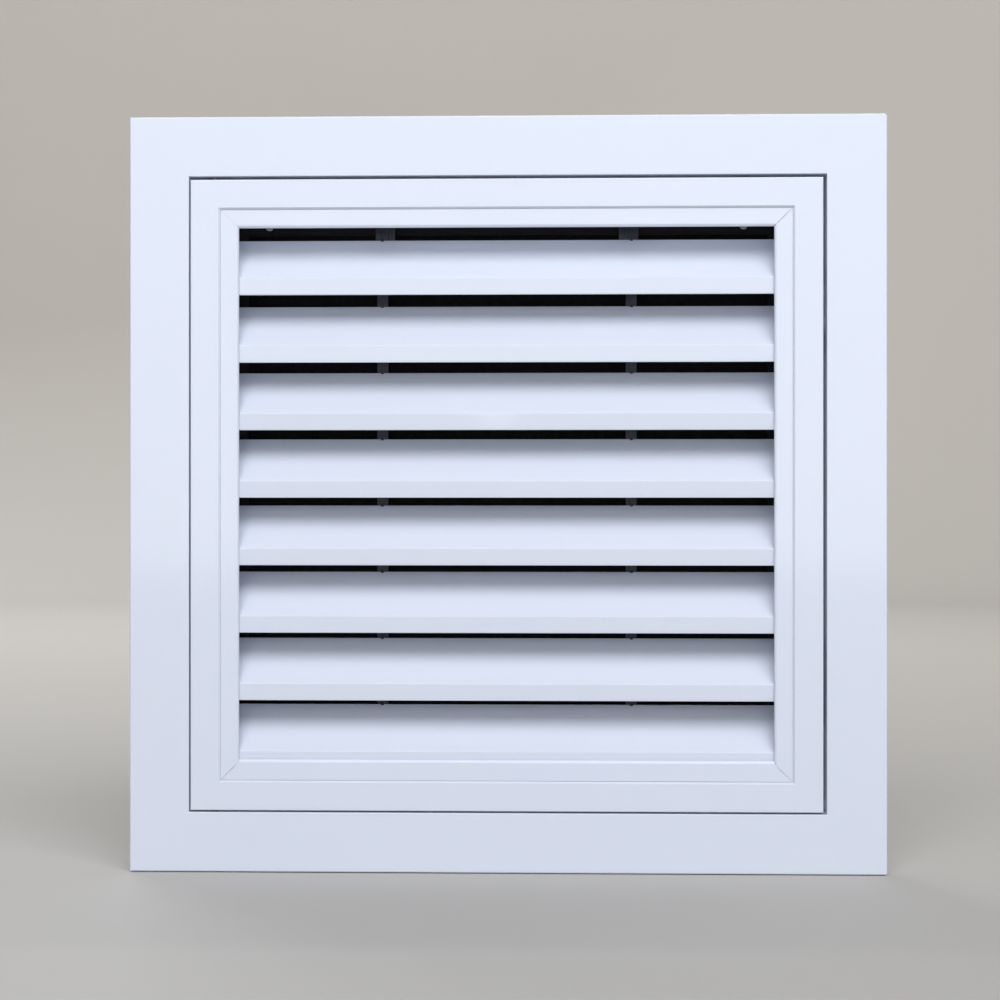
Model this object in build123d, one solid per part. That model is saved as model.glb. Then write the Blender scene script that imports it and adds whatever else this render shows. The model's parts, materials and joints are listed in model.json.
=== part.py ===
from build123d import *
import os

# A square louvred air grille for a wall, of white coated aluminium. A fixed outer frame has a flange, a
# return lip that meets the wall, and a neck that goes into the duct. A door hangs in it on two upright
# pins. The door carries a louvre core with eight fixed blades, and a filter panel behind them.
# Millimetres. The origin is the middle of the neck on the plane of the wall. +X is right and +Z is up,
# as seen from the room, and +Y goes into the wall.

# ---- outer frame ----
FLANGE_SIZE = 380.0  # over all, each way
NECK_SIZE = 320.0  # clear inside the neck, each way
FACE_Y = -8.0  # the front of the flange and of the closed door
NECK_REAR_Y = 40.0
FRAME_WALL = 1.4  # thickness of the outer frame's extrusion
FLANGE_EDGE_R = 0.8
NECK_EDGE_R = 0.4
CORNER_RADII = {(-1, 1): 0.5, (1, 1): 2.2, (1, -1): 1.0, (-1, -1): 0.5}  # by side in X and in Z
FIXING_HOLE_R = 2.25
FIXING_HOLE_Y = 33.0
FIXING_HOLE_SPACING = 200.0  # between the two holes of one side

# The groove behind the flange that holds the corner keys
OUTER_GROOVE_FROM = 167.6
OUTER_GROOVE_TO = 181.2
OUTER_KEY_THICKNESS = 2.8
OUTER_KEY_LEG = 45.0
RIB = 1.2  # thickness of the groove's ribs and toes
OUTER_TOE = 1.2  # how far a toe reaches over the key

# ---- door frame, measured from the door's own centre ----
HINGE_GAP = 0.75
LATCH_GAP = 1.75
TOP_GAP = 1.6
BOTTOM_GAP = 0.9
DOOR_BAND = 15.0  # width of the flat band
DOOR_PLATE = 1.5
DOOR_SKIRT = 1.4
DOOR_SKIRT_REAR_Y = 12.0
DOOR_EDGE_R = 0.6
BAND_STEP_CHAMFER = 0.9
DOOR_KEY_WIDTH = 5.2
DOOR_KEY_DEPTH = 5.0
DOOR_KEY_LEG = 36.0
DOOR_TOE = 1.2

# ---- louvre core, measured from the door's centre ----
CORE_HALF = 134.5  # half of the clear opening
CORE_SETBACK = 6.0  # how far the walls stand back behind the band's inner edge
CORE_REAR_INNER = 139.3  # inner edge of the rear flange, which the filter rests on
CORE_FACE_Y = -7.0
CORE_BAND_REAR_Y = -5.0
CORE_WALL = 1.4
CORE_REAR_Y = 23.0
CORE_REAR_FLANGE = 147.0
CORE_EDGE_R = 1.5
BAND_JOINT = 0.3  # groove between the core's band and the door's plate
CORE_FLANGE_CLEARANCE = 0.2
CORE_MITRE_GAPS = (0.05, 0.22, 0.16, 0.18)  # top left, top right, bottom right, bottom left
SILL_RISE = 1.3  # bead on the bottom member, in front of the last blade's lip

# ---- blades ----
BLADE_COUNT = 8
BLADE_PITCH = 34.1
FIRST_BLADE_Z = 100.9  # bottom of the first blade's lip
LIP_HEIGHT = 8.5
LIP_LEAN = 0.65  # how far the lip's bottom edge stands behind its top edge
SLOPE_RUN = 21.8  # depth of the slope, which rises as much as it goes back
BLADE_WALL = 1.2
LIP_Y = -4.8
LIP_EDGE_R = 0.5
BEND_R = 0.5
PORT_BORE_R = 1.3
PORTS = ((3.6, 7.0, 2.6), (17.0, 21.1, 2.4))  # depth, height and outer radius of each screw port

# ---- blade supports ----
SUPPORT_X = 64.0
SUPPORT_WIDTH = 5.5
SUPPORT_THICKNESS = 1.5
HOOK_WIDTH = 1.6
HOOK_REACH = 1.6  # from the support's front to the front of a hook
HOOK_HEIGHT = 0.7
FOOT_WIDTH = 10.0
FOOT_OUTBOARD = 1.0
FOOT_DEPTH = 12.0
FOOT_THICKNESS = 1.5
FOOT_DROP = 11.0  # height of a foot's upright leg
GROOVE_FROM_X = -1.2  # a shallow groove down the front of each support
GROOVE_TO_X = -0.2
GROOVE_DEPTH = 0.8

# ---- fasteners ----
RIVET_R = 1.2
RIVET_HEAD_R = 2.3
RIVET_HEAD_HEIGHT = 1.4
RIVET_TAIL_R = 1.9
RIVET_TAIL_HEIGHT = 1.2
SCREW_HEAD_R = 2.5
SCREW_HEAD_HEIGHT = 1.6
SCREW_CLEARANCE_R = 1.5
BLADE_SCREW_LENGTH = 13.0
RECESS_WIDTH = 0.8
RECESS_DEPTH = 0.9

# ---- core corner plates ----
PLATE_THICKNESS = 1.5
PLATE_LEG = 32.0
PLATE_RIVET_OFFSET = 22.0  # from the plate's outer corner, along each leg
PLATE_RIVET_LINE = 144.2  # distance of the rivets from the centre

# ---- screws that hold the core's top in the door ----
CORE_SCREW_X = 119.5
CORE_SCREW_Y = -2.7
CORE_SCREW_R = 1.75
CORE_SCREW_HEAD_R = 3.2
CORE_SCREW_LENGTH = 25.2
CORE_SCREW_END_R = 1.2  # rounding of the end that shows in the opening
SPACER_R = 2.25

# ---- core retaining clips ----
CLIP_OFFSET = 60.0
CLIP_WIDTH = 12.0
CLIP_THICKNESS = 1.2
CLIP_INNER = 144.2
CLIP_OUTER = 156.8
CLIP_SCREW_R = 1.4
CLIP_SCREW_LENGTH = 5.5

# ---- hinge ----
HINGE_INSET = 12.0  # from the door's left edge to the pin's axis
HINGE_DEPTH = 4.0  # from the door's face to the pin's axis
PIN_R = 1.25
PIN_HEAD_R = 2.3
PIN_HEAD_HEIGHT = 1.0
PIN_REACH = 5.6  # how far the pin goes into the door
BUSH_CLEARANCE = 0.05
BUSH_R = 2.0
BUSH_FLANGE_R = 2.4
BUSH_FLANGE = 0.7

# ---- magnetic catches ----
CATCH_Z = 95.0
CATCH_INNER_X = 150.0
CATCH_FRONT_Y = 13.8
CATCH_REAR_Y = 24.0
CATCH_HALF_LENGTH = 14.0
CATCH_WALL = 1.2
MAGNET_REAR_Y = 22.0
MAGNET_FRONT_Y = 14.4
MAGNET_HALF_LENGTH = 12.0
POLE_THICKNESS = 1.2
POLE_FRONT_Y = 13.4
EAR_LENGTH = 9.0
EAR_THICKNESS = 3.0
EAR_FROM_Y = 15.0
EAR_TO_Y = 23.0
CATCH_SCREW_LENGTH = 7.0
STRIKER_THICKNESS = 1.2
STRIKER_HALF_LENGTH = 14.0
STRIKER_INNER = 151.0
STRIKER_LEG_THICKNESS = 1.4
STRIKER_LEG_FROM_Y = 0.5
STRIKER_RIVET_Y = 6.0
STRIKER_RIVET_OFFSET = 8.0
STRIKER_RIVET_HEAD_R = 2.0
STRIKER_RIVET_HEAD_HEIGHT = 0.8

# ---- filter ----
FILTER_HALF = 142.5
FILTER_DEPTH = 6.0
FILTER_CHANNEL = 8.0
FILTER_SHEET = 0.8
MESH_THICKNESS = 1.0
INSERT_LEG = 25.0
INSERT_WIDTH = 5.0
TURN_CLIP_X = 70.0
TURN_CLIP_PIVOT = 144.8  # distance of the pivots above and below the door's centre
TURN_CLIP_BOSS_R = 2.1
TURN_CLIP_ARM = 12.0
TURN_CLIP_WIDTH = 4.4
TURN_CLIP_THICKNESS = 1.5
TURN_CLIP_GAP = 0.3
PIVOT_R = 1.0
PIVOT_CLEARANCE = 0.06
PIVOT_HEAD_R = 2.0
PIVOT_HEAD_HEIGHT = 0.9
PIVOT_TAIL_R = 1.8
PIVOT_TAIL_HEIGHT = 0.8

# ---- values that follow from the ones above ----
FLANGE_HALF = FLANGE_SIZE / 2
NECK_HALF = NECK_SIZE / 2
FLANGE_REAR_Y = FACE_Y + FRAME_WALL
DOOR_HALF = (NECK_SIZE - HINGE_GAP - LATCH_GAP) / 2
DOOR_CENTRE = Pos((HINGE_GAP - LATCH_GAP) / 2, 0, (BOTTOM_GAP - TOP_GAP) / 2)
DOOR_PLATE_REAR_Y = FACE_Y + DOOR_PLATE
DOOR_PLATE_INNER = DOOR_HALF - DOOR_BAND
SKIRT_INNER = DOOR_HALF - DOOR_SKIRT
DOOR_KEY_INNER = SKIRT_INNER - DOOR_KEY_WIDTH
DOOR_KEY_REAR_Y = DOOR_PLATE_REAR_Y + DOOR_KEY_DEPTH
TOE_REAR_Y = DOOR_KEY_REAR_Y + RIB
GROOVE_MIDDLE = (DOOR_KEY_INNER + SKIRT_INNER) / 2
CORE_WALL_INNER = CORE_HALF + CORE_SETBACK
CORE_WALL_OUTER = CORE_WALL_INNER + CORE_WALL
CORE_BAND_OUTER = DOOR_PLATE_INNER - BAND_JOINT
HINGE_X = HINGE_INSET - DOOR_HALF
HINGE_Y = FACE_Y + HINGE_DEPTH
SUPPORT_FRONT_Y = LIP_Y + SLOPE_RUN + BLADE_WALL * 0.5**0.5
FILTER_REAR_Y = CORE_REAR_Y + FILTER_DEPTH
ARM_FRONT_Y = FILTER_REAR_Y + TURN_CLIP_GAP
ARM_REAR_Y = ARM_FRONT_Y + TURN_CLIP_THICKNESS
PLATE_FRONT_Y = CORE_REAR_Y - CORE_WALL - PLATE_THICKNESS
RIB_INNER = DOOR_KEY_INNER - RIB
SIDES = ("top", "right", "bottom", "left")  # in turn, each a quarter turn from the one before
REACH = 200.0  # longer than half of any member


def strip(y_from, y_to, r_from, r_to):
    """One rectangle of a section: y is depth, and r is the distance out from the opening's centre."""
    return Pos((y_from + y_to) / 2, (r_from + r_to) / 2) * Rectangle(y_to - y_from, r_to - r_from)


def corner_of(sketch, u, v):
    """The corner of a sketch that lies at (u, v)."""
    return sketch.vertices().sort_by_distance(Vector(u, v, 0))[0]


def block(x_from, x_to, y_from, y_to, z_from, z_to):
    """A box between two corners."""
    middle = Pos((x_from + x_to) / 2, (y_from + y_to) / 2, (z_from + z_to) / 2)
    return middle * Box(abs(x_to - x_from), abs(y_to - y_from), abs(z_to - z_from))


def mitred_bar(section, start_gap=0.0, end_gap=0.0):
    """The top member of a square frame: a section run along X, with both ends cut at 45 degrees.
    A gap is the width of a corner's joint line, half of which comes off each member."""
    bar = extrude(Plane.YZ * section, amount=REACH, both=True)
    start = start_gap * 0.5**0.5
    end = end_gap * 0.5**0.5
    tip = REACH / 4
    wedge = Polygon(
        (start - tip, tip), (start - REACH, REACH), (REACH - end, REACH), (tip - end, tip), align=None
    )
    return bar & extrude(Plane.XZ * wedge, amount=REACH, both=True)


def turned(shape, quarter):
    """A shape made for the top of a square frame, moved to another of its sides or corners."""
    return Rot(0, 90 * quarter, 0) * shape


def corner_piece(inner, outer, leg, y_from, y_to):
    """A flat L for the top left corner of a frame, lying between two distances from the centre."""
    flat = block(-outer, leg - outer, y_from, y_to, inner, outer)
    upright = block(-outer, -inner, y_from, y_to, outer - leg, outer)
    return flat + upright


def along(point, direction):
    """A place for a fastener, whose head is at the point and whose shank goes in the direction."""
    return Plane(origin=point, z_dir=direction).location


def stack(*stages):
    """Round stages one after another along Z, each (radius, from, to)."""
    solid = Part()
    for radius, z_from, z_to in stages:
        solid += Pos(0, 0, (z_from + z_to) / 2) * Cylinder(radius, z_to - z_from)
    return solid


def rivet(grip):
    """A domed rivet through a thickness, head at z under 0 and set tail past the grip."""
    head = Pos(0, 0, -RIVET_HEAD_HEIGHT / 2) * Cylinder(RIVET_HEAD_R, RIVET_HEAD_HEIGHT)
    head = fillet(head.edges().group_by(Axis.Z)[0], RIVET_HEAD_HEIGHT * 0.8)
    return head + stack((RIVET_R, 0, grip), (RIVET_TAIL_R, grip, grip + RIVET_TAIL_HEIGHT))


def pan_screw(shank_r, length):
    """A pan-head screw with a cross recess, head at z under 0 and a pointed shank."""
    head = Pos(0, 0, -SCREW_HEAD_HEIGHT / 2) * Cylinder(SCREW_HEAD_R, SCREW_HEAD_HEIGHT)
    head = fillet(head.edges().group_by(Axis.Z)[0], SCREW_HEAD_HEIGHT * 0.6)
    recess = Pos(0, 0, -SCREW_HEAD_HEIGHT + RECESS_DEPTH / 2)
    head -= recess * Box(SCREW_HEAD_R * 1.2, RECESS_WIDTH, RECESS_DEPTH)
    head -= recess * Box(RECESS_WIDTH, SCREW_HEAD_R * 1.2, RECESS_DEPTH)
    point = 2 * shank_r
    tip = Pos(0, 0, length - point / 2) * Cone(shank_r, shank_r * 0.1, point)
    return head + stack((shank_r, 0, length - point)) + tip


def outer_frame_section():
    plate = strip(FACE_Y, FLANGE_REAR_Y, NECK_HALF, FLANGE_HALF)
    lip = strip(FACE_Y, 0, FLANGE_HALF - FRAME_WALL, FLANGE_HALF)
    neck = strip(FACE_Y, NECK_REAR_Y, NECK_HALF, NECK_HALF + FRAME_WALL)
    toe_y = FLANGE_REAR_Y + OUTER_KEY_THICKNESS
    inner_rib = strip(FLANGE_REAR_Y, toe_y + RIB, OUTER_GROOVE_FROM - RIB, OUTER_GROOVE_FROM)
    inner_toe = strip(toe_y, toe_y + RIB, OUTER_GROOVE_FROM - RIB, OUTER_GROOVE_FROM + OUTER_TOE)
    outer_rib = strip(FLANGE_REAR_Y, toe_y + RIB, OUTER_GROOVE_TO, OUTER_GROOVE_TO + RIB)
    outer_toe = strip(toe_y, toe_y + RIB, OUTER_GROOVE_TO - OUTER_TOE, OUTER_GROOVE_TO + RIB)
    section = plate + lip + neck + inner_rib + inner_toe + outer_rib + outer_toe
    section = fillet(corner_of(section, FACE_Y, FLANGE_HALF), FLANGE_EDGE_R)
    return fillet(corner_of(section, FACE_Y, NECK_HALF), NECK_EDGE_R)


def outer_frame_nodes():
    outline = Rectangle(FLANGE_SIZE, FLANGE_SIZE)
    for (side_x, side_z), radius in CORNER_RADII.items():
        outline = fillet(corner_of(outline, side_x * FLANGE_HALF, side_z * FLANGE_HALF), radius)
    trim = extrude(Plane.XZ * outline, amount=REACH, both=True)
    bar = mitred_bar(outer_frame_section())
    for side_x in (-1, 1):
        x = side_x * FIXING_HOLE_SPACING / 2
        hole = along((x, FIXING_HOLE_Y, NECK_HALF - FRAME_WALL), (0, 0, 1))
        bar -= hole * stack((FIXING_HOLE_R, 0, 3 * FRAME_WALL))
    nodes = {}
    for quarter, side in enumerate(SIDES):
        nodes["outer_frame_" + side] = turned(bar, quarter) & trim
    for side in ("top", "bottom"):
        nodes["outer_frame_" + side] -= hinge_pin(side)
    for upper in (True, False):
        for screw in catch_screws(upper):
            nodes["outer_frame_right"] -= screw
    key = corner_piece(
        OUTER_GROOVE_FROM,
        OUTER_GROOVE_TO,
        OUTER_KEY_LEG,
        FLANGE_REAR_Y,
        FLANGE_REAR_Y + OUTER_KEY_THICKNESS,
    )
    nodes["outer_corner_keys"] = Compound([turned(key, quarter).solid() for quarter in range(4)])
    return nodes


def hinge_line(side):
    """Where the hinge's line crosses the neck wall at the top or the bottom, and the way out."""
    out = 1 if side == "top" else -1
    hinge_x = DOOR_CENTRE.position.X + HINGE_X
    return out, hinge_x


def hinge_pin(side):
    out, hinge_x = hinge_line(side)
    door_edge = DOOR_CENTRE.position.Z + out * DOOR_HALF
    head_z = out * (NECK_HALF + FRAME_WALL)
    shank = abs(head_z - door_edge) + PIN_REACH
    pin = stack((PIN_HEAD_R, -PIN_HEAD_HEIGHT, 0), (PIN_R, 0, shank))
    return along((hinge_x, HINGE_Y, head_z), (0, 0, -out)) * pin


def hinge_bush(side):
    out, hinge_x = hinge_line(side)
    door_edge = DOOR_CENTRE.position.Z + out * DOOR_HALF
    length = DOOR_SKIRT + DOOR_KEY_WIDTH
    bush = stack((BUSH_FLANGE_R, -BUSH_FLANGE, 0), (BUSH_R, 0, length))
    bush -= stack((PIN_R + BUSH_CLEARANCE, -BUSH_FLANGE, length))
    return along((hinge_x, HINGE_Y, door_edge), (0, 0, -out)) * bush


def door_frame_section():
    plate = strip(FACE_Y, DOOR_PLATE_REAR_Y, DOOR_PLATE_INNER, DOOR_HALF)
    skirt = strip(FACE_Y, DOOR_SKIRT_REAR_Y, SKIRT_INNER, DOOR_HALF)
    rib = strip(DOOR_PLATE_REAR_Y, TOE_REAR_Y, RIB_INNER, DOOR_KEY_INNER)
    rib_toe = strip(DOOR_KEY_REAR_Y, TOE_REAR_Y, RIB_INNER, DOOR_KEY_INNER + DOOR_TOE)
    skirt_toe = strip(DOOR_KEY_REAR_Y, TOE_REAR_Y, SKIRT_INNER - DOOR_TOE, DOOR_HALF)
    section = plate + skirt + rib + rib_toe + skirt_toe
    section = fillet(corner_of(section, FACE_Y, DOOR_HALF), DOOR_EDGE_R)
    return chamfer(corner_of(section, FACE_Y, DOOR_PLATE_INNER), BAND_STEP_CHAMFER)


def door_frame_nodes():
    bar = mitred_bar(door_frame_section())
    nodes = {}
    for quarter, side in enumerate(SIDES):
        nodes["door_frame_" + side] = DOOR_CENTRE * turned(bar, quarter)
    key = corner_piece(
        DOOR_KEY_INNER, SKIRT_INNER, DOOR_KEY_LEG, DOOR_PLATE_REAR_Y, DOOR_KEY_REAR_Y
    )
    for quarter, corner in enumerate(("top_left", "top_right", "bottom_right", "bottom_left")):
        nodes["door_corner_key_" + corner] = DOOR_CENTRE * turned(key, quarter)
    for side in ("top", "bottom"):
        bush = hinge_bush(side)
        out, hinge_x = hinge_line(side)
        door_edge = DOOR_CENTRE.position.Z + out * DOOR_HALF
        bore = stack((BUSH_R, 0, DOOR_SKIRT + DOOR_KEY_WIDTH))
        bore = along((hinge_x, HINGE_Y, door_edge), (0, 0, -out)) * bore
        nodes["door_frame_" + side] -= bore
        nodes["door_corner_key_" + side + "_left"] -= bore
        nodes["hinge_bush_" + side] = bush
    for upper in (True, False):
        for striker_rivet in striker_rivets(upper):
            nodes["door_frame_right"] -= striker_rivet
    for place in core_screw_places():
        nodes["door_frame_top"] -= place * core_screw_body()
    return nodes


def core_frame_section():
    band = strip(CORE_FACE_Y, CORE_BAND_REAR_Y, CORE_HALF, CORE_BAND_OUTER)
    tucked = strip(
        DOOR_PLATE_REAR_Y, CORE_BAND_REAR_Y, CORE_HALF, RIB_INNER - CORE_FLANGE_CLEARANCE
    )
    wall = strip(CORE_FACE_Y, CORE_REAR_Y, CORE_WALL_INNER, CORE_WALL_OUTER)
    rear = strip(CORE_REAR_Y - CORE_WALL, CORE_REAR_Y, CORE_REAR_INNER, CORE_REAR_FLANGE)
    section = band + tucked + wall + rear
    return fillet(corner_of(section, CORE_FACE_Y, CORE_HALF), CORE_EDGE_R)


def plate_rivets():
    """The eight rivets of the core's corner plates, flush with the back of the rear flange."""
    grip = CORE_REAR_Y - PLATE_FRONT_Y
    head = stack((RIVET_TAIL_R, -RIVET_TAIL_HEIGHT, 0), (RIVET_R, 0, grip))
    near = CORE_REAR_FLANGE - PLATE_RIVET_OFFSET
    placed = []
    for side_x in (-1, 1):
        for side_z in (-1, 1):
            for x, z in ((near, PLATE_RIVET_LINE), (PLATE_RIVET_LINE, near)):
                place = along((side_x * x, PLATE_FRONT_Y, side_z * z), (0, 1, 0))
                placed.append(DOOR_CENTRE * (place * head))
    return placed


def core_screw_places():
    """Places of the two long screws, heads flush with the door's top edge and shanks downwards."""
    height = Pos(0, 0, DOOR_HALF)
    flipped = Rot(180, 0, 0)
    return [
        DOOR_CENTRE * Pos(side_x * CORE_SCREW_X, CORE_SCREW_Y, 0) * height * flipped
        for side_x in (-1, 1)
    ]


def core_screw_body():
    """A long screw whose flush head fills the skirt's thickness, without its recess."""
    head = Pos(0, 0, DOOR_SKIRT / 2) * Cone(CORE_SCREW_HEAD_R, CORE_SCREW_R, DOOR_SKIRT)
    shank = stack((CORE_SCREW_R, DOOR_SKIRT, CORE_SCREW_LENGTH))
    return head + fillet(shank.edges().group_by(Axis.Z)[-1], CORE_SCREW_END_R)


def core_screws():
    """The two long screws through the door frame and the core's top member, whose ends show below it."""
    middle = Pos(0, 0, RECESS_DEPTH / 2)
    screw = core_screw_body()
    screw -= middle * Box(CORE_SCREW_HEAD_R, RECESS_WIDTH, RECESS_DEPTH)
    screw -= middle * Box(RECESS_WIDTH, CORE_SCREW_HEAD_R, RECESS_DEPTH)
    return [place * screw for place in core_screw_places()]


def core_spacers():
    """Sleeves on those screws, between the core's top member and the door frame's rib."""
    sleeve = stack((SPACER_R, CORE_WALL_OUTER, RIB_INNER)) - stack((CORE_SCREW_R, 0, REACH))
    placed = []
    for side_x in (-1, 1):
        placed.append(DOOR_CENTRE * (Pos(side_x * CORE_SCREW_X, CORE_SCREW_Y, 0) * sleeve))
    return placed


def foot_rivets():
    """The four rivets of the supports' feet, with their heads inside the opening."""
    placed = []
    middle_y = SUPPORT_FRONT_Y + SUPPORT_THICKNESS - FOOT_DEPTH / 2
    for side_x in (-1, 1):
        for side_z in (-1, 1):
            head_z = side_z * (CORE_WALL_INNER - FOOT_THICKNESS)
            place = along((side_x * foot_middle(), middle_y, head_z), (0, 0, side_z))
            placed.append(DOOR_CENTRE * (place * rivet(FOOT_THICKNESS + CORE_WALL)))
    return placed


def blade_screws(side_x):
    """The screws through one side of the core frame into the blades' ports."""
    placed = []
    for number in range(BLADE_COUNT):
        for depth, height, _ in PORTS:
            z = FIRST_BLADE_Z - number * BLADE_PITCH + height
            place = along((side_x * CORE_WALL_OUTER, LIP_Y + depth, z), (-side_x, 0, 0))
            placed.append(DOOR_CENTRE * (place * pan_screw(PORT_BORE_R, BLADE_SCREW_LENGTH)))
    return placed


def turn_clip_places():
    """Each turn clip's name, with its pivot's X, its side in Z, and the place of its pivot."""
    for side_z, row in ((1, "top"), (-1, "bottom")):
        for side_x, column in ((-1, "left"), (1, "right")):
            x = side_x * TURN_CLIP_X
            z = side_z * TURN_CLIP_PIVOT
            yield row + "_" + column, side_z, DOOR_CENTRE * Pos(x, 0, z)


def pivot_rivet():
    """A turn clip's pivot, along Y, through the core's rear flange."""
    flange_y = CORE_REAR_Y - CORE_WALL
    head_y = ARM_REAR_Y + PIVOT_CLEARANCE
    pivot = stack(
        (PIVOT_TAIL_R, flange_y - PIVOT_TAIL_HEIGHT, flange_y),
        (PIVOT_R, flange_y, head_y),
        (PIVOT_HEAD_R, head_y, head_y + PIVOT_HEAD_HEIGHT),
    )
    return Rot(-90, 0, 0) * pivot


def core_frame_nodes():
    section = core_frame_section()
    nodes = {}
    for quarter, side in enumerate(SIDES):
        bar = mitred_bar(section, CORE_MITRE_GAPS[quarter], CORE_MITRE_GAPS[(quarter + 1) % 4])
        nodes["core_frame_" + side] = DOOR_CENTRE * turned(bar, quarter)
    bead = block(
        -CORE_HALF,
        CORE_HALF,
        CORE_FACE_Y,
        CORE_BAND_REAR_Y,
        -CORE_HALF - CORE_EDGE_R,
        SILL_RISE - CORE_HALF,
    )
    bead = fillet(bead.edges().group_by(Axis.Y)[0].sort_by(Axis.Z)[-1], CORE_EDGE_R)
    nodes["core_frame_bottom"] += DOOR_CENTRE * bead
    plate = corner_piece(
        CORE_WALL_OUTER, CORE_REAR_FLANGE, PLATE_LEG, PLATE_FRONT_Y, CORE_REAR_Y - CORE_WALL
    )
    plates = [DOOR_CENTRE * turned(plate, quarter) for quarter in range(4)]
    rivets = plate_rivets()
    for cutter in rivets:
        plates = [piece - cutter for piece in plates]
    for cutter in rivets + foot_rivets():
        for side in SIDES:
            nodes["core_frame_" + side] -= cutter
    for place in core_screw_places():
        nodes["core_frame_top"] -= place * core_screw_body()
    for side, side_x in (("left", -1), ("right", 1)):
        node = "core_frame_" + side
        for number in range(BLADE_COUNT):
            for depth, height, _ in PORTS:
                z = FIRST_BLADE_Z - number * BLADE_PITCH + height
                place = along((side_x * CORE_WALL_INNER, LIP_Y + depth, z), (side_x, 0, 0))
                nodes[node] -= DOOR_CENTRE * (place * stack((SCREW_CLEARANCE_R, 0, CORE_WALL)))
        nodes["blade_screws_" + side] = Compound([s.solid() for s in blade_screws(side_x)])
    pivots = [place * pivot_rivet() for _, _, place in turn_clip_places()]
    for pivot in pivots:
        nodes["core_frame_top"] -= pivot
        nodes["core_frame_bottom"] -= pivot
    nodes["core_screws"] = Compound([piece.solid() for piece in core_screws()])
    nodes["core_spacers"] = Compound([piece.solid() for piece in core_spacers()])
    nodes["core_corner_plates"] = Compound([piece.solid() for piece in plates])
    nodes["core_corner_rivets"] = Compound([piece.solid() for piece in rivets])
    nodes["filter_clip_pivots"] = Compound([piece.solid() for piece in pivots])
    return nodes


def core_clip_nodes():
    """Clips that hold the core's sides and bottom, screwed into the groove between the door's toes."""
    base = strip(TOE_REAR_Y, TOE_REAR_Y + CLIP_THICKNESS, CLIP_INNER, CLIP_OUTER)
    leg = strip(
        CORE_BAND_REAR_Y, TOE_REAR_Y + CLIP_THICKNESS, CLIP_INNER, CLIP_INNER + CLIP_THICKNESS
    )
    clip = extrude(Plane.YZ * (base + leg), amount=CLIP_WIDTH / 2, both=True)
    screw_place = along((0, TOE_REAR_Y + CLIP_THICKNESS, GROOVE_MIDDLE), (0, -1, 0))
    clip -= screw_place * stack((CLIP_SCREW_R, 0, 2 * CLIP_THICKNESS))
    screw = screw_place * pan_screw(CLIP_SCREW_R, CLIP_SCREW_LENGTH)
    places = [
        DOOR_CENTRE * Rot(0, 90 * quarter, 0) * Pos(side_x * CLIP_OFFSET, 0, 0)
        for quarter in (1, 2, 3)
        for side_x in (-1, 1)
    ]
    return {
        "core_clips": Compound([(place * clip).solid() for place in places]),
        "core_clip_screws": Compound([(place * screw).solid() for place in places]),
    }


def blade_section():
    """A blade's section from the bottom of its lip: the lip, the slope, and two ports for screws."""
    drop = BLADE_WALL * 2**0.5  # height of the slope's wall, measured upright
    back = BLADE_WALL * 0.5**0.5
    top = LIP_HEIGHT + SLOPE_RUN
    section = Polygon(
        (LIP_LEAN, 0),
        (0, LIP_HEIGHT),
        (SLOPE_RUN, top),
        (SLOPE_RUN + back, top - back),
        (BLADE_WALL, LIP_HEIGHT + BLADE_WALL - drop),
        (LIP_LEAN + BLADE_WALL, 0),
        align=None,
    )
    section = fillet(corner_of(section, LIP_LEAN, 0), LIP_EDGE_R)
    section = fillet(corner_of(section, LIP_LEAN + BLADE_WALL, 0), LIP_EDGE_R)
    section = fillet(corner_of(section, 0, LIP_HEIGHT), BEND_R)
    section = fillet(corner_of(section, SLOPE_RUN, top), LIP_EDGE_R)
    for depth, height, radius in PORTS:
        section += Pos(depth, height) * Circle(radius)
    for depth, height, _ in PORTS:
        section -= Pos(depth, height) * Circle(PORT_BORE_R)
    return section


def blade_nodes():
    blade = extrude(Plane.YZ * blade_section(), amount=CORE_WALL_INNER, both=True)
    nodes = {}
    for number in range(BLADE_COUNT):
        placed = Pos(0, LIP_Y, FIRST_BLADE_Z - number * BLADE_PITCH) * blade
        nodes[f"louvre_blade_{number + 1}"] = DOOR_CENTRE * placed
    return nodes


def foot_middle():
    """The middle of a support's foot, as a distance from the core's middle."""
    return SUPPORT_X + SUPPORT_WIDTH / 2 + FOOT_OUTBOARD - FOOT_WIDTH / 2


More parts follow.
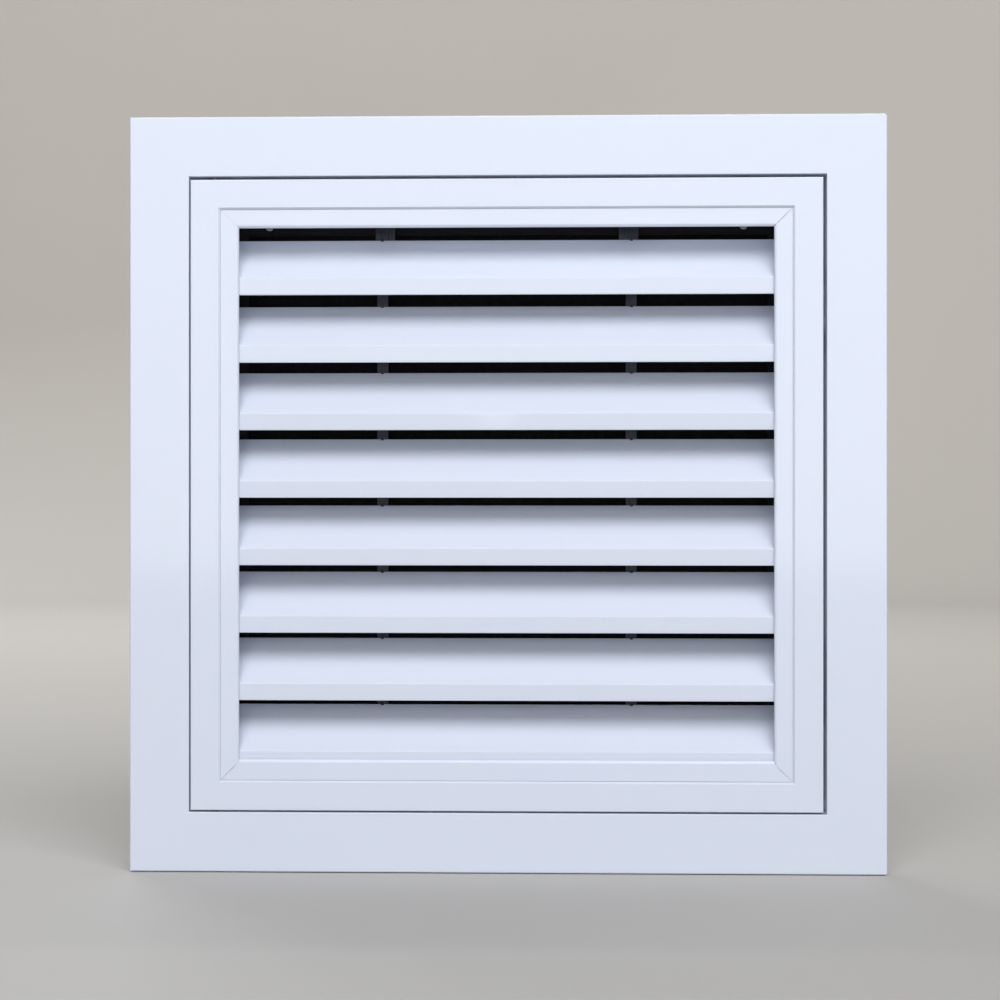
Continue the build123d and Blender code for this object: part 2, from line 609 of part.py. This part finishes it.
def support_nodes():
    """Upright strips behind the blades, with a hook over each blade's rear edge and a foot each end."""
    top = LIP_HEIGHT + SLOPE_RUN
    back = BLADE_WALL * 0.5**0.5
    rear = SLOPE_RUN + back
    front = rear - HOOK_REACH
    hook = Polygon(
        (front, LIP_HEIGHT + front),
        (SLOPE_RUN, top),
        (rear, top - back),
        (rear, top + HOOK_HEIGHT),
        (front + HOOK_HEIGHT, top + HOOK_HEIGHT),
        (front, top),
        align=None,
    )
    rear_y = SUPPORT_FRONT_Y + SUPPORT_THICKNESS
    half = SUPPORT_WIDTH / 2
    strip_part = block(-half, half, SUPPORT_FRONT_Y, rear_y, -CORE_WALL_INNER, CORE_WALL_INNER)
    hook_part = extrude(Plane.YZ * hook, amount=HOOK_WIDTH / 2, both=True)
    strip_part -= block(
        GROOVE_FROM_X, GROOVE_TO_X, SUPPORT_FRONT_Y, SUPPORT_FRONT_Y + GROOVE_DEPTH, -REACH, REACH
    )
    for number in range(BLADE_COUNT):
        strip_part += Pos(0, LIP_Y, FIRST_BLADE_Z - number * BLADE_PITCH) * hook_part
    nodes = {}
    for side, side_x in (("left", -1), ("right", 1)):
        support = Pos(side_x * SUPPORT_X, 0, 0) * strip_part
        for side_z in (-1, 1):
            inner_z = side_z * (CORE_WALL_INNER - FOOT_THICKNESS)
            middle = side_x * foot_middle()
            left = middle - FOOT_WIDTH / 2
            right = middle + FOOT_WIDTH / 2
            foot_rear_y = rear_y + FOOT_THICKNESS
            outer_z = side_z * CORE_WALL_INNER
            drop_z = side_z * (CORE_WALL_INNER - FOOT_DROP)
            support += block(left, right, foot_rear_y - FOOT_DEPTH, foot_rear_y, inner_z, outer_z)
            support += block(left, right, rear_y, foot_rear_y, drop_z, outer_z)
        support = DOOR_CENTRE * support
        for cutter in foot_rivets():
            support -= cutter
        nodes["blade_support_" + side] = support
    nodes["support_rivets"] = Compound([piece.solid() for piece in foot_rivets()])
    return nodes


def catch_screws(upper):
    """The two screws of one catch, through its ears and the neck wall."""
    centre_z = CATCH_Z if upper else -CATCH_Z
    ear_middle = CATCH_HALF_LENGTH + EAR_LENGTH / 2
    placed = []
    for side_z in (-1, 1):
        head = (NECK_HALF - EAR_THICKNESS, (EAR_FROM_Y + EAR_TO_Y) / 2, centre_z + side_z * ear_middle)
        placed.append(along(head, (1, 0, 0)) * pan_screw(PORT_BORE_R, CATCH_SCREW_LENGTH))
    return placed


def striker_rivets(upper):
    """The two rivets of one striker plate, flush with the outside of the door's skirt."""
    centre_z = CATCH_Z if upper else -CATCH_Z
    rivet_body = stack(
        (STRIKER_RIVET_HEAD_R, -STRIKER_RIVET_HEAD_HEIGHT, 0),
        (RIVET_R, 0, STRIKER_LEG_THICKNESS + DOOR_SKIRT),
    )
    head_x = DOOR_CENTRE.position.X + SKIRT_INNER - STRIKER_LEG_THICKNESS
    placed = []
    for side_z in (-1, 1):
        head = (head_x, STRIKER_RIVET_Y, centre_z + side_z * STRIKER_RIVET_OFFSET)
        placed.append(along(head, (1, 0, 0)) * rivet_body)
    return placed


def catch_nodes():
    """Two magnetic catches on the neck's right wall, and the steel strikers on the door."""
    nodes = {}
    magnets = []
    poles = []
    screws = []
    rivets = []
    inner = CATCH_INNER_X + CATCH_WALL
    outer = NECK_HALF - CATCH_WALL
    for name, centre_z in (("upper", CATCH_Z), ("lower", -CATCH_Z)):
        upper = name == "upper"
        lift = Pos(0, 0, centre_z)
        half = CATCH_HALF_LENGTH
        housing = block(CATCH_INNER_X, NECK_HALF, CATCH_FRONT_Y, CATCH_REAR_Y, -half, half)
        ear_half = half + EAR_LENGTH
        housing += block(
            NECK_HALF - EAR_THICKNESS, NECK_HALF, EAR_FROM_Y, EAR_TO_Y, -ear_half, ear_half
        )
        housing -= block(
            inner, outer, CATCH_FRONT_Y, MAGNET_REAR_Y, -MAGNET_HALF_LENGTH, MAGNET_HALF_LENGTH
        )
        housing = lift * housing
        for screw in catch_screws(upper):
            housing -= screw
            screws.append(screw.solid())
        nodes["catch_housing_" + name] = housing
        magnet = block(
            inner + POLE_THICKNESS,
            outer - POLE_THICKNESS,
            MAGNET_FRONT_Y,
            MAGNET_REAR_Y,
            -MAGNET_HALF_LENGTH,
            MAGNET_HALF_LENGTH,
        )
        magnets.append((lift * magnet).solid())
        for pole_x in (inner, outer - POLE_THICKNESS):
            pole = block(
                pole_x,
                pole_x + POLE_THICKNESS,
                POLE_FRONT_Y,
                MAGNET_REAR_Y,
                -MAGNET_HALF_LENGTH,
                MAGNET_HALF_LENGTH,
            )
            poles.append((lift * pole).solid())
        centre_x = DOOR_CENTRE.position.X
        face = block(
            centre_x + STRIKER_INNER,
            centre_x + DOOR_HALF,
            DOOR_SKIRT_REAR_Y,
            DOOR_SKIRT_REAR_Y + STRIKER_THICKNESS,
            -STRIKER_HALF_LENGTH,
            STRIKER_HALF_LENGTH,
        )
        leg = block(
            centre_x + SKIRT_INNER - STRIKER_LEG_THICKNESS,
            centre_x + SKIRT_INNER,
            STRIKER_LEG_FROM_Y,
            DOOR_SKIRT_REAR_Y,
            -STRIKER_HALF_LENGTH,
            STRIKER_HALF_LENGTH,
        )
        striker = lift * (face + leg)
        for striker_rivet in striker_rivets(upper):
            striker -= striker_rivet
            rivets.append(striker_rivet.solid())
        nodes["striker_plate_" + name] = striker
    nodes["catch_magnets"] = Compound(magnets)
    nodes["catch_pole_plates"] = Compound(poles)
    nodes["catch_screws"] = Compound(screws)
    nodes["striker_rivets"] = Compound(rivets)
    return nodes


def filter_nodes():
    """A washable filter: nylon mesh in a mitred channel frame, with an insert in each corner."""
    channel_inner = FILTER_HALF - FILTER_CHANNEL
    web = strip(CORE_REAR_Y, FILTER_REAR_Y, FILTER_HALF - FILTER_SHEET, FILTER_HALF)
    front = strip(CORE_REAR_Y, CORE_REAR_Y + FILTER_SHEET, channel_inner, FILTER_HALF)
    rear = strip(FILTER_REAR_Y - FILTER_SHEET, FILTER_REAR_Y, channel_inner, FILTER_HALF)
    bar = mitred_bar(web + front + rear)
    nodes = {}
    for quarter, side in enumerate(SIDES):
        nodes["filter_frame_" + side] = DOOR_CENTRE * turned(bar, quarter)
    mesh_half = FILTER_HALF - FILTER_SHEET
    mesh_front = (CORE_REAR_Y + FILTER_REAR_Y - MESH_THICKNESS) / 2
    mesh_rear = mesh_front + MESH_THICKNESS
    mesh = block(-mesh_half, mesh_half, mesh_front, mesh_rear, -mesh_half, mesh_half)
    nodes["filter_mesh"] = DOOR_CENTRE * mesh
    insert = corner_piece(
        mesh_half - INSERT_WIDTH, mesh_half, INSERT_LEG, mesh_rear, FILTER_REAR_Y - FILTER_SHEET
    )
    inserts = [(DOOR_CENTRE * turned(insert, quarter)).solid() for quarter in range(4)]
    nodes["filter_corner_inserts"] = Compound(inserts)
    return nodes


def turn_clip_nodes():
    """Clips that turn on their pivots to hold the filter in or let it go."""
    nodes = {}
    boss_front = CORE_REAR_Y + TURN_CLIP_GAP
    half = TURN_CLIP_WIDTH / 2
    for name, side_z, place in turn_clip_places():
        arm_shape = Pos(0, -side_z * TURN_CLIP_ARM / 2) * SlotCenterToCenter(
            TURN_CLIP_ARM - half, TURN_CLIP_WIDTH, rotation=90
        )
        arm_shape = Pos(0, side_z * half / 2) * arm_shape
        arm = extrude(Plane.XZ * arm_shape, amount=TURN_CLIP_THICKNESS)
        arm = Pos(0, ARM_REAR_Y, 0) * arm
        boss = Rot(-90, 0, 0) * stack((TURN_CLIP_BOSS_R, boss_front, ARM_REAR_Y))
        bore = Rot(-90, 0, 0) * stack((PIVOT_R + PIVOT_CLEARANCE, boss_front, ARM_REAR_Y))
        nodes["filter_clip_" + name] = place * (arm + boss - bore)
    return nodes


def all_nodes():
    nodes = {}
    nodes.update(outer_frame_nodes())
    for side in ("top", "bottom"):
        nodes["hinge_pin_" + side] = hinge_pin(side)
    nodes.update(door_frame_nodes())
    nodes.update(core_frame_nodes())
    nodes.update(core_clip_nodes())
    nodes.update(blade_nodes())
    nodes.update(support_nodes())
    nodes.update(catch_nodes())
    nodes.update(filter_nodes())
    nodes.update(turn_clip_nodes())
    return nodes


os.makedirs("parts", exist_ok=True)
for node, shape in all_nodes().items():
    export_step(shape, f"parts/{node}.step")
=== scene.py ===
import json
import math

import bpy
import bmesh
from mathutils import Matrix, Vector


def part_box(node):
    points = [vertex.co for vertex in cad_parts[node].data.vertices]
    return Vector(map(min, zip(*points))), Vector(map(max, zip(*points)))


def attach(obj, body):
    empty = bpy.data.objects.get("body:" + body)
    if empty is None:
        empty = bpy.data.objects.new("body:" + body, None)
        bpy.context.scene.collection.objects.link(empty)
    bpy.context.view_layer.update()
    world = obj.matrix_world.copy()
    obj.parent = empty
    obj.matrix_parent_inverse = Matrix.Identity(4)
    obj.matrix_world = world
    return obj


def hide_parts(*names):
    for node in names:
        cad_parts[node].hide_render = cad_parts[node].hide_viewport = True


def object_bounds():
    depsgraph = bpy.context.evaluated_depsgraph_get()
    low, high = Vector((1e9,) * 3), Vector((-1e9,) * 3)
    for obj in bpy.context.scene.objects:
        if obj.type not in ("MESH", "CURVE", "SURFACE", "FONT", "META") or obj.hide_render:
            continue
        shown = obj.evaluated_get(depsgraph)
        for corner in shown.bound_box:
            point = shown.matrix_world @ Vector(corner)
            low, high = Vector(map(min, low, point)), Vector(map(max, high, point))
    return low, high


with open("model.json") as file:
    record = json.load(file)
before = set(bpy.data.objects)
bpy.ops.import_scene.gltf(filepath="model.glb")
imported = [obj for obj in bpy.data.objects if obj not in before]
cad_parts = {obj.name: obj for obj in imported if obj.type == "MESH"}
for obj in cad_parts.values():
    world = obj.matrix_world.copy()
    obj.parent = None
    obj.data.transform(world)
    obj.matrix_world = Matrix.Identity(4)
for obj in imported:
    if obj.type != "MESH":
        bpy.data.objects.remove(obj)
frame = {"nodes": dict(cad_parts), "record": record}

cad_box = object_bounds()

# ---- camera: in front of the grille, a little to the right, level, and turned slightly to the left ----
CAMERA_PLACE = (0.0234, -0.9661, -0.0029)
CAMERA_TURN = 0.0278
CAMERA_LENS = 68.83
SENSOR_WIDTH = 36.0


def make_camera():
    data = bpy.data.cameras.new("camera")
    data.lens = CAMERA_LENS
    data.sensor_width = SENSOR_WIDTH
    camera = bpy.data.objects.new("camera", data)
    camera.location = CAMERA_PLACE
    camera.rotation_euler = (math.pi / 2, 0, CAMERA_TURN)
    bpy.context.scene.collection.objects.link(camera)
    bpy.context.scene.camera = camera


make_camera()

# ---- the middle of a noise, which carries nearly all of its values ----
NOISE_LOW = 0.3
NOISE_HIGH = 0.7

# ---- studio: pale floor that curves up to a pale wall all round, and soft lights ----
FLOOR_Z = cad_box[0].z - 0.0004  # just clear of the grille's lower edge
FLOOR_COLOUR = (0.56, 0.54, 0.51)
FLOOR_RADIUS = 2.6
COVE_RADIUS = 1.2
WALL_HEIGHT = 2.4
COVE_STEPS = 24
FLOOR_SIDES = 96
FLOOR_DARKER = 0.985  # the floor's darkest tone, as a share of its colour
FLOOR_TONE_SCALE = 1.5
FLOOR_TONE_DETAIL = 3
FLOOR_ROUGHNESS = 0.75
WORLD_COLOUR = (0.93, 0.96, 1.0, 1)
WORLD_STRENGTH = 0.10
LIGHT_TINT = (0.92, 0.95, 1.0)
WARM_TINT = (1.0, 0.97, 0.93)
LIGHTS = [
    # name, place, what it points at, width and height, watts, colour
    # (catch_light stands where an upright lip would mirror it; the leaned lips turn its glint away)
    ("wide_fill", (0.8, -1.7, 0.95), (0.8, 0.0, 0.95), (3.2, 2.1), 5.0, LIGHT_TINT),
    ("high_softbox", (0.3, -1.6, 1.75), (0.0, 0.0, 0.0), (2.4, 1.3), 42.5, LIGHT_TINT),
    ("window_panel", (0.0, -1.7, 0.275), (0.0, 0.0, 0.275), (1.4, 0.75), 5.5, LIGHT_TINT),
    ("backdrop_light", (0.0, 0.9, 2.3), (0.0, 4.0, 0.6), (3.0, 1.0), 56.0, WARM_TINT),
    ("front_wall_light", (0.0, -1.0, 2.5), (0.0, -4.0, 0.8), (3.0, 1.0), 14.0, WARM_TINT),
    ("rear_fill", (-1.4, 2.4, 1.7), (0.0, 0.0, 0.0), (1.6, 1.2), 24.0, LIGHT_TINT),
    ("catch_light", (-0.0326, -0.966, -0.0587), (-0.0046, 0, -0.0308), (0.02, 0.015), 0.011, (1, 1, 1)),
]


def new_material(name):
    material = bpy.data.materials.new(name)
    material.use_nodes = True
    tree = material.node_tree
    shader = tree.nodes["Principled BSDF"]
    return material, tree, shader


def link(tree, source, socket_out, target, socket_in):
    tree.links.new(source.outputs[socket_out], target.inputs[socket_in])


def noise(tree, coordinates, scale, detail):
    node = tree.nodes.new("ShaderNodeTexNoise")
    node.inputs["Scale"].default_value = scale
    node.inputs["Detail"].default_value = detail
    link(tree, coordinates, "Object", node, "Vector")
    return node


def ramp(tree, source, stops):
    """Colours by a noise: stops are (position, (r, g, b))."""
    node = tree.nodes.new("ShaderNodeValToRGB")
    elements = node.color_ramp.elements
    while len(elements) < len(stops):
        elements.new(0.5)
    for element, (position, colour) in zip(elements, stops):
        element.position = position
        element.color = (*colour, 1)
    link(tree, source, "Fac", node, "Fac")
    return node


def remap(tree, source, low, high):
    """Stretches the middle of a noise over a range of values."""
    node = tree.nodes.new("ShaderNodeMapRange")
    node.inputs["From Min"].default_value = NOISE_LOW
    node.inputs["From Max"].default_value = NOISE_HIGH
    node.inputs["To Min"].default_value = low
    node.inputs["To Max"].default_value = high
    link(tree, source, "Fac", node, "Value")
    return node


def bump(tree, height, distance, strength, under=None):
    node = tree.nodes.new("ShaderNodeBump")
    node.inputs["Distance"].default_value = distance
    node.inputs["Strength"].default_value = strength
    link(tree, height, "Fac", node, "Height")
    if under is not None:
        link(tree, under, "Normal", node, "Normal")
    return node


def make_stage():
    """A round floor whose rim curves up into a wall, in place of a hard horizon line."""
    mesh = bpy.data.meshes.new("studio_floor")
    shape = bmesh.new()
    profile = [(FLOOR_RADIUS, 0.0)]
    for step in range(1, COVE_STEPS + 1):
        angle = math.pi / 2 * step / COVE_STEPS
        profile.append(
            (FLOOR_RADIUS + COVE_RADIUS * math.sin(angle), COVE_RADIUS * (1 - math.cos(angle)))
        )
    profile.append((FLOOR_RADIUS + COVE_RADIUS, COVE_RADIUS + WALL_HEIGHT))
    rings = []
    for radius, height in profile:
        ring = []
        for side in range(FLOOR_SIDES):
            turn = 2 * math.pi * side / FLOOR_SIDES
            place = (radius * math.cos(turn), radius * math.sin(turn), FLOOR_Z + height)
            ring.append(shape.verts.new(place))
        rings.append(ring)
    shape.faces.new(rings[0]).smooth = True
    for low, high in zip(rings, rings[1:]):
        for side in range(FLOOR_SIDES):
            after = (side + 1) % FLOOR_SIDES
            face = shape.faces.new((low[side], high[side], high[after], low[after]))
            face.smooth = True
    shape.to_mesh(mesh)
    shape.free()
    floor = bpy.data.objects.new("studio_floor", mesh)
    bpy.context.scene.collection.objects.link(floor)
    material, tree, shader = new_material("studio_floor_paint")
    coordinates = tree.nodes.new("ShaderNodeTexCoord")
    tone = noise(tree, coordinates, FLOOR_TONE_SCALE, FLOOR_TONE_DETAIL)
    darker = [part * FLOOR_DARKER for part in FLOOR_COLOUR]
    colour = ramp(tree, tone, [(NOISE_LOW, darker), (NOISE_HIGH, FLOOR_COLOUR)])
    link(tree, colour, "Color", shader, "Base Color")
    shader.inputs["Roughness"].default_value = FLOOR_ROUGHNESS
    mesh.materials.append(material)
    floor.visible_glossy = False  # glossy surfaces reflect the lamps, but no floor or wall


def area_light(name, place, target, size, power, colour):
    data = bpy.data.lights.new(name, "AREA")
    data.shape = "RECTANGLE"
    data.size, data.size_y = size
    data.energy = power
    data.color = colour
    lamp = bpy.data.objects.new(name, data)
    lamp.location = place
    direction = Vector(target) - Vector(place)
    lamp.rotation_euler = direction.to_track_quat("-Z", "Y").to_euler()
    lamp.visible_camera = False
    bpy.context.scene.collection.objects.link(lamp)


def make_lights():
    world = bpy.data.worlds.new("studio_world")
    world.use_nodes = True
    background = world.node_tree.nodes["Background"]
    background.inputs["Color"].default_value = WORLD_COLOUR
    background.inputs["Strength"].default_value = WORLD_STRENGTH
    bpy.context.scene.world = world
    for name, place, target, size, power, colour in LIGHTS:
        area_light(name, place, target, size, power, colour)


make_stage()
make_lights()

# ---- looks ----
WHITE_LIGHT = (0.79, 0.835, 0.945)
WHITE_DARK = (0.782, 0.828, 0.938)
WHITE_TONE_SCALE = 9
WHITE_TONE_EDGES = (0.25, 0.75)
COAT_GLOSS_SCALE = 120
COAT_ROUGHNESS = (0.07, 0.11)
PEEL_SCALE = 620
PEEL_DEPTH = 0.00003
WAVE_SCALE = 130
WAVE_DEPTH = 0.00006
PEEL_STRENGTH = 0.2
TONE_DETAIL = 4
TONE_EDGES = (0.32, 0.68)
GRAIN_DETAIL = 3
GRAIN_STRENGTH = 0.6


def white_coating():
    """A smooth white powder coat: two scales of orange peel and slight changes of gloss."""
    material, tree, shader = new_material("white_coating")
    where = tree.nodes.new("ShaderNodeTexCoord")
    tone = noise(tree, where, WHITE_TONE_SCALE, 1)
    colour = ramp(tree, tone, list(zip(WHITE_TONE_EDGES, (WHITE_DARK, WHITE_LIGHT))))
    link(tree, colour, "Color", shader, "Base Color")
    gloss = noise(tree, where, COAT_GLOSS_SCALE, 3)
    rough = remap(tree, gloss, *COAT_ROUGHNESS)
    link(tree, rough, "Result", shader, "Roughness")
    peel = noise(tree, where, PEEL_SCALE, 2)
    wave = noise(tree, where, WAVE_SCALE, 1)
    broad = bump(tree, wave, WAVE_DEPTH, PEEL_STRENGTH)
    fine = bump(tree, peel, PEEL_DEPTH, PEEL_STRENGTH, under=broad)
    link(tree, fine, "Normal", shader, "Normal")
    return material


def plain(name, light, dark, scale, roughness, grain, metallic=0.0, specular=0.5):
    """A matte or satin finish: grain is the scale and depth of its surface texture."""
    material, tree, shader = new_material(name)
    where = tree.nodes.new("ShaderNodeTexCoord")
    tone = noise(tree, where, scale, TONE_DETAIL)
    colour = ramp(tree, tone, list(zip(TONE_EDGES, (dark, light))))
    link(tree, colour, "Color", shader, "Base Color")
    rough = remap(tree, tone, *roughness)
    link(tree, rough, "Result", shader, "Roughness")
    grain_scale, grain_depth = grain
    texture = noise(tree, where, grain_scale, GRAIN_DETAIL)
    link(tree, bump(tree, texture, grain_depth, GRAIN_STRENGTH), "Normal", shader, "Normal")
    shader.inputs["Metallic"].default_value = metallic
    shader.inputs["Specular IOR Level"].default_value = specular
    return material


FINISHES = [
    # slot, light tone, dark tone, scale, roughness, grain's scale and depth, metallic, specular
    ("support_strip", (0.075, 0.08, 0.095), (0.045, 0.05, 0.06), 90,
     (0.34, 0.48), (500, 0.00006), 0.6, 0.35),
    ("corner_key_zinc", (0.52, 0.53, 0.55), (0.38, 0.39, 0.41), 240,
     (0.42, 0.6), (900, 0.0001), 0.9, 0.5),
    ("plated_steel", (0.66, 0.67, 0.68), (0.52, 0.54, 0.58), 60,
     (0.24, 0.4), (700, 0.00004), 1.0, 0.5),
    ("rivet_metal", (0.74, 0.77, 0.82), (0.68, 0.71, 0.76), 200,
     (0.3, 0.42), (800, 0.00004), 0.0, 0.5),
    ("screw_steel", (0.34, 0.345, 0.36), (0.22, 0.225, 0.235), 160,
     (0.42, 0.58), (900, 0.00004), 0.8, 0.5),
    ("bush_nylon", (0.035, 0.035, 0.038), (0.02, 0.02, 0.022), 300,
     (0.4, 0.55), (1500, 0.00004), 0.0, 0.5),
    ("catch_plastic", (0.7, 0.69, 0.65), (0.63, 0.62, 0.58), 120,
     (0.38, 0.5), (1400, 0.00003), 0.0, 0.5),
    ("magnet_ferrite", (0.07, 0.07, 0.075), (0.04, 0.04, 0.044), 500,
     (0.6, 0.8), (2200, 0.0001), 0.0, 0.5),
    # painted shade: the filter channel and net are near-black so the gaps between the blades read dark;
    # this black stands in for the shadow there as well as for a black filter
    ("filter_channel", (0.01, 0.01, 0.011), (0.007, 0.007, 0.008), 200,
     (0.55, 0.7), (900, 0.00004), 0.0, 0.25),
    ("filter_net", (0.012, 0.012, 0.013), (0.006, 0.006, 0.007), 400,
     (0.8, 0.95), (1500, 0.0001), 0.0, 0.12),
    ("insert_plastic", (0.04, 0.04, 0.043), (0.025, 0.025, 0.028), 300,
     (0.45, 0.6), (1300, 0.00005), 0.0, 0.5),
    ("turn_clip_nylon", (0.06, 0.06, 0.064), (0.04, 0.04, 0.043), 300,
     (0.38, 0.5), (1500, 0.00004), 0.0, 0.5),
]

MADE = {"white_coating": white_coating()}
for slot, *finish in FINISHES:
    MADE[slot] = plain(slot, *finish)

# ---- the filter's net ----
NET_THREADS = 200  # each way
NET_THICKNESS = 0.0004
NET_RELIEF = 0.00022  # how far a thread passes over and under its neighbours


def woven_net():
    """Threads that pass over and under each other both ways, as one thin closed sheet."""
    low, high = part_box("filter_mesh")
    middle = (low.y + high.y) / 2
    across = NET_THREADS + 1
    corners = []
    for side in (-1, 1):
        for row in range(across):
            z = low.z + (high.z - low.z) * row / NET_THREADS
            for column in range(across):
                x = low.x + (high.x - low.x) * column / NET_THREADS
                over = NET_RELIEF if (row + column) % 2 else -NET_RELIEF
                corners.append((x, middle + side * NET_THICKNESS / 2 + over, z))
    back = across * across
    faces = []
    for row in range(NET_THREADS):
        for column in range(NET_THREADS):
            a = row * across + column
            b, c, d = a + 1, a + across + 1, a + across
            faces.append((a, b, c, d))
            faces.append((back + d, back + c, back + b, back + a))
    last = NET_THREADS * across
    for step in range(NET_THREADS):
        a, b = step, step + 1
        faces.append((back + a, back + b, b, a))
        a, b = last + step, last + step + 1
        faces.append((a, b, back + b, back + a))
        a, b = step * across, (step + 1) * across
        faces.append((a, b, back + b, back + a))
        a, b = step * across + NET_THREADS, (step + 1) * across + NET_THREADS
        faces.append((back + a, back + b, b, a))
    mesh = bpy.data.meshes.new("filter_net_woven")
    mesh.from_pydata(corners, [], faces)
    mesh.validate()
    mesh.shade_smooth()
    mesh.materials.append(MADE["filter_net"])
    net = bpy.data.objects.new("filter_net_woven", mesh)
    bpy.context.scene.collection.objects.link(net)
    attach(net, "door")
    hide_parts("filter_mesh")


woven_net()

for row in frame["record"]["subparts"]:
    piece = frame["nodes"][row["node"]]
    finish = MADE[row["material_slot"]]
    if not piece.material_slots:
        piece.data.materials.append(finish)
    for slot in piece.material_slots:
        slot.material = finish

scene = bpy.context.scene
scene.view_settings.view_transform = "Standard"
scene.view_settings.look = "None"
